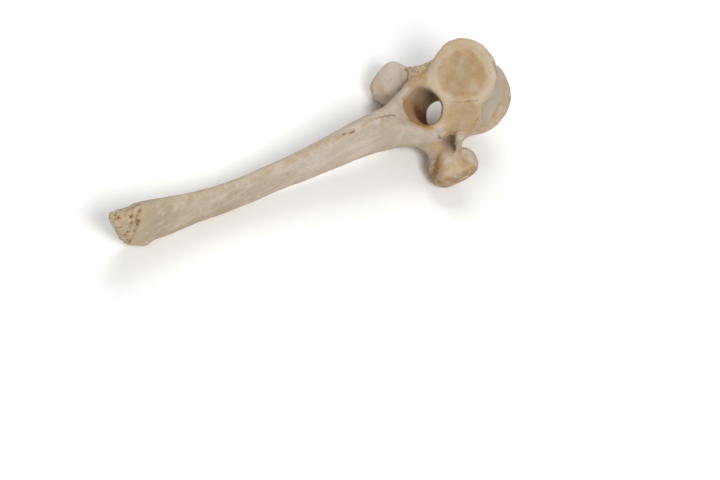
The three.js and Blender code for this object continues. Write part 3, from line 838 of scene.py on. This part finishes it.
place = add("ShaderNodeTexCoord").outputs["Object"]
along_fibres = add("ShaderNodeMapping", Vector=place, Rotation=(0, FIBRE_TURN, 0), Scale=FIBRE_SIZE)
along_fibres.vector_type = "TEXTURE"
blotches = add("ShaderNodeTexNoise", Vector=place, Scale=LARGE, Detail=3).outputs["Fac"]
mottle = add("ShaderNodeTexNoise", Vector=place, Scale=MIDDLE, Detail=4, Roughness=0.6).outputs["Fac"]
speckle = add("ShaderNodeTexNoise", Vector=place, Scale=FINE, Detail=3, Roughness=0.6).outputs["Fac"]
streaks = add("ShaderNodeTexNoise", Vector=along_fibres.outputs["Vector"], Scale=1, Detail=4).outputs["Fac"]
cells = add("ShaderNodeTexVoronoi", Vector=place, Scale=GRAIN_CELLS).outputs["Distance"]
wobble = reckon("MULTIPLY", reckon("SUBTRACT", mottle, 0.5), BROAD_WOBBLE)
wobble = reckon("ADD", wobble, reckon("MULTIPLY", reckon("SUBTRACT", speckle, 0.5), FINE_WOBBLE))
off_crack = reckon("ADD", reckon("SUBTRACT", mask("crack_side"), 0.5), wobble)
hair_crack = between(reckon("ABSOLUTE", off_crack, 0.0), CRACK_EDGE, CRACK_CORE)
hair_crack = part_of("crack", reckon("MULTIPLY", hair_crack, between(mottle, 0.36, 0.5)))
print("patterns:", LARGE, MIDDLE, FINE, "lumps to a metre")

# %% [markdown]
# ## Colours
#
# The finishes are laid over one another in the order in which they came to the bone: its own cream, which
# wanders between greyer and yellower, then bleaching, the joint faces, stains, the canal, and last the dirt
# in pits and cracks. Some layers are painted light and shade: a highlight on the spine's broad side, shade
# on its front edge, in hollows, on the left paddle, deep in the canal, its openings and holes, and in the
# pits, and light on the canal's wall that faces the lamps. One colour ramp could hold all these colours, but
# layers keep each finish apart, so that it can be changed alone.

# %% Colours of dry bone
CREAM = (0.485, 0.405, 0.325, 1)
YELLOW_CREAM = (0.405, 0.325, 0.215, 1)
PINK_GREY = (0.36, 0.285, 0.225, 1)
CHALK = (0.575, 0.505, 0.425, 1)
JOINT_TAN = (0.5, 0.375, 0.22, 1)
PALE_JOINT = (0.5, 0.435, 0.345, 1)
HEART_BROWN = (0.345, 0.22, 0.1, 1)
CANAL_BROWN = (0.46, 0.31, 0.17, 1)
CANAL_LIT_WALL = (0.42, 0.335, 0.25, 1)
DEEP_SHADE_BROWN = (0.17, 0.065, 0.01, 1)
BLEACHED_GREY = (0.43, 0.37, 0.295, 1)
WARM_TAN = (0.48, 0.325, 0.165, 1)
STAIN_AND_SHADE_BROWN = (0.23, 0.125, 0.05, 1)
LIP_ORANGE = (0.37, 0.195, 0.05, 1)
SPONGY_BEIGE = (0.46, 0.36, 0.23, 1)
PIT_BROWN = (0.15, 0.055, 0.025, 1)

colour = lay_over(CREAM, YELLOW_CREAM, mask("yellowing"))
colour = lay_over(colour, PINK_GREY, reckon("MULTIPLY", between(blotches, 0.45, 0.68), 0.5))
colour = lay_over(colour, CHALK, reckon("MULTIPLY", between(blotches, 0.48, 0.3), 0.5))
colour = lay_over(colour, PINK_GREY, reckon("MULTIPLY", between(mottle, 0.5, 0.68), 0.6))
colour = lay_over(colour, CHALK, reckon("MULTIPLY", between(mottle, 0.46, 0.32), 0.5))
colour = lay_over(colour, PINK_GREY, part_of("shaft", between(streaks, 0.5, 0.7), 0.5))
colour = lay_over(colour, CHALK, part_of("shaft", between(streaks, 0.5, 0.3), 0.7))
smears = reckon("MULTIPLY", between(streaks, 0.5, 0.65), between(blotches, 0.42, 0.58))
colour = lay_over(colour, WARM_TAN, part_of("shaft", smears, 0.35))
# Chalk on the right paddle, and a painted highlight on the spine's broad side.
colour = lay_over(colour, CHALK, part_of("chalky_and_highlight", between(mottle, 0.25, 0.55), 0.7))
colour = lay_over(colour, BLEACHED_GREY, part_of("bleached", between(mottle, 0.2, 0.45)))
colour = lay_over(colour, JOINT_TAN, mask("joint_face"))
colour = lay_over(colour, PALE_JOINT, part_of("joint_face", between(blotches, 0.45, 0.6), 0.7))
colour = lay_over(colour, PALE_JOINT, part_of("pale_ring", between(mottle, 0.3, 0.5), 0.9))
colour = lay_over(colour, HEART_BROWN, part_of("heart", between(mottle, 0.0, 0.6), 0.75))
# Tan, and the painted shade of the spine's front edge.
colour = lay_over(colour, WARM_TAN, part_of("tan", between(mottle, 0.3, 0.6)))
colour = lay_over(colour, WARM_TAN, part_of("edge", between(mottle, 0.35, 0.6), 0.6))
colour = lay_over(colour, SPONGY_BEIGE, part_of("spongy", between(mottle, 0.3, 0.6)))
# Soil and painted shade: the hollows are darkened brown.
colour = lay_over(colour, STAIN_AND_SHADE_BROWN, part_of("hollow", between(mottle, 0.3, 0.65), 0.55))
# Stains, and the painted shade of the left paddle.
colour = lay_over(colour, STAIN_AND_SHADE_BROWN, part_of("stain_and_shade", between(mottle, 0.2, 0.55), 0.9))
colour = lay_over(colour, CANAL_BROWN, part_of("canal", between(mottle, 0.1, 0.4)))
# Painted light on the canal's lit wall, then painted shade deep in the canal, its openings and holes.
colour = lay_over(colour, CANAL_LIT_WALL, mask("canal_lit_wall"))
colour = lay_over(colour, DEEP_SHADE_BROWN, part_of("deep_shade", between(mottle, 0.15, 0.45), 0.95))
colour = lay_over(colour, LIP_ORANGE, part_of("lip", between(mottle, 0.25, 0.5), 0.9))
fine_pits = part_of("granular", between(cells, 0.38, 0.22))
fine_pits = reckon("MULTIPLY", fine_pits, between(mottle, 0.25, 0.4))
colour = lay_over(colour, PIT_BROWN, reckon("MULTIPLY", fine_pits, 0.75))
# Dirt and painted shade in the pits and slits.
colour = lay_over(colour, PIT_BROWN, part_of("pits", between(speckle, 0.3, 0.5), 0.85))
colour = lay_over(colour, STAIN_AND_SHADE_BROWN, reckon("MULTIPLY", between(speckle, 0.62, 0.74), 0.5))
colour = lay_over(colour, PIT_BROWN, reckon("MULTIPLY", hair_crack, 0.85))
tree.links.new(colour, shader.inputs["Base Color"])
print("nodes for the colour:", len(tree.nodes))

# %% [markdown]
# ## Gloss and bump
#
# Bone that has lost its fat is nearly matt, and it is fully matt where the painted shade of the canal, its
# openings and holes lies. The bump adds only shallow grain: fibres along the spine, mottling, the dots of
# the granular strip and the hair cracks. The net would have to be many times finer to hold these. All larger
# forms are true geometry already.

# %% Gloss and bump of dry bone
SPECULAR = 0.18
SMOOTHEST = 0.5
ROUGHEST = 0.75
BUMP_STRENGTH = 0.5
BUMP_REACH = 0.3 * MM

shader.inputs["Specular IOR Level"].default_value = SPECULAR
roughness = add("ShaderNodeMapRange", Value=mottle, To_Min=SMOOTHEST, To_Max=ROUGHEST).outputs["Result"]
roughness = reckon("MAXIMUM", roughness, mask("deep_shade"))
tree.links.new(roughness, shader.inputs["Roughness"])
height = reckon("ADD", part_of("shaft", streaks, 1.5), reckon("MULTIPLY", speckle, 0.7))
height = reckon("ADD", height, mottle)
height = reckon("SUBTRACT", height, reckon("MULTIPLY", fine_pits, 2.0))
height = reckon("SUBTRACT", height, hair_crack)
bump = add("ShaderNodeBump", Strength=BUMP_STRENGTH, Distance=BUMP_REACH, Height=height)
tree.links.new(bump.outputs["Normal"], shader.inputs["Normal"])
bone.data.materials.append(material)
print("bone material nodes:", len(tree.nodes))

# %% [markdown]
# ## The piece in the frame
#
# The finished skin stands for all six solids. It rides on the only body that a still model has. Each solid
# could have been dressed alone, but then the gaps would show as lines on a bone that has none.

# %% Tie the skin to the frame
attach(bone, "root")
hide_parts(*nodes)
print("triangles:", sum(len(face.vertices) - 2 for face in bone.data.polygons))

# %% [markdown]
# ## The floor
#
# The bone lies on a plain pale sheet, as on a studio table. One large plane is enough, since its edges stay
# far outside the picture.

# %% Pale floor
FLOOR_SIZE = 6.0
PAPER_WHITE = (0.93, 0.93, 0.925, 1)
PAPER_ROUGHNESS = 0.9

bpy.ops.object.select_all(action="DESELECT")
bpy.ops.mesh.primitive_plane_add(size=FLOOR_SIZE)
floor = bpy.context.object
floor.name = "floor"
paper = bpy.data.materials.new("pale_paper")
paper.use_nodes = True
paper_shader = paper.node_tree.nodes["Principled BSDF"]
paper_shader.inputs["Base Color"].default_value = PAPER_WHITE
paper_shader.inputs["Roughness"].default_value = PAPER_ROUGHNESS
floor.data.materials.append(paper)
print("floor:", FLOOR_SIZE, "m square")

# %% [markdown]
# ## The light
#
# Two large soft lamps and a pale sky light the bone. The key lamp stands on the near side and shows the
# form, and the top lamp behind the bone fills the shadows. Small lamps would draw hard shadows that a
# studio avoids.

# %% Soft lamps and sky
KEY_PLACE = (-0.45, -0.95, 1.4)
KEY_SIZE = 0.6
KEY_WATTS = 19
TOP_PLACE = (0.34, 0.85, 1.43)
TOP_SIZE = 1.0
TOP_WATTS = 11
SKY_WHITE = (1.0, 0.99, 0.97, 1)
SKY_STRENGTH = 0.4


def lamp(name, place, size, power):
    """A square soft lamp that looks at the bone."""
    data = bpy.data.lights.new(name, "AREA")
    data.size = size
    data.energy = power
    made = bpy.data.objects.new(name, data)
    made.location = place
    made.rotation_euler = Vector(place).to_track_quat("Z", "Y").to_euler()
    bpy.context.collection.objects.link(made)


lamp("key_lamp", KEY_PLACE, KEY_SIZE, KEY_WATTS)
lamp("top_lamp", TOP_PLACE, TOP_SIZE, TOP_WATTS)
sky = bpy.data.worlds.new("soft_sky")
sky.use_nodes = True
background = sky.node_tree.nodes["Background"]
background.inputs["Color"].default_value = SKY_WHITE
background.inputs["Strength"].default_value = SKY_STRENGTH
bpy.context.scene.world = sky
bpy.context.scene.view_settings.view_transform = "Standard"
print("lamps:", ", ".join(light.name for light in bpy.data.lights))

# %% [markdown]
# ## The camera
#
# The camera looks down on the lying bone from the side of its caudal face. A long lens keeps the perspective
# flat, and a roll about the line of sight lets the spine run as in the photograph. The swing and the roll
# are turned one after the other, which is easier to follow than three angles at once.

# %% Camera at the photograph's angle
AIM = Vector((-0.0009, -0.0595, 0.0214))
DISTANCE = 1.4
AZIMUTH = math.radians(-59.46)
ELEVATION = math.radians(50.97)
ROLL = math.radians(30.8)
LENS = 116

swing = Matrix.Rotation(AZIMUTH, 3, "Z") @ Matrix.Rotation(math.pi / 2 - ELEVATION, 3, "X")
turn = swing @ Matrix.Rotation(ROLL, 3, "Z")
camera_data = bpy.data.cameras.new("photo_camera")
camera_data.lens = LENS
camera = bpy.data.objects.new("photo_camera", camera_data)
camera.matrix_world = Matrix.Translation(AIM + DISTANCE * turn.col[2]) @ turn.to_4x4()
bpy.context.collection.objects.link(camera)
bpy.context.scene.camera = camera
print("camera at", tuple(round(value, 3) for value in camera.matrix_world.translation))

# %% [markdown]
#
# Last, the scene is brought up to date.

# %% Finish
bpy.context.view_layer.update()
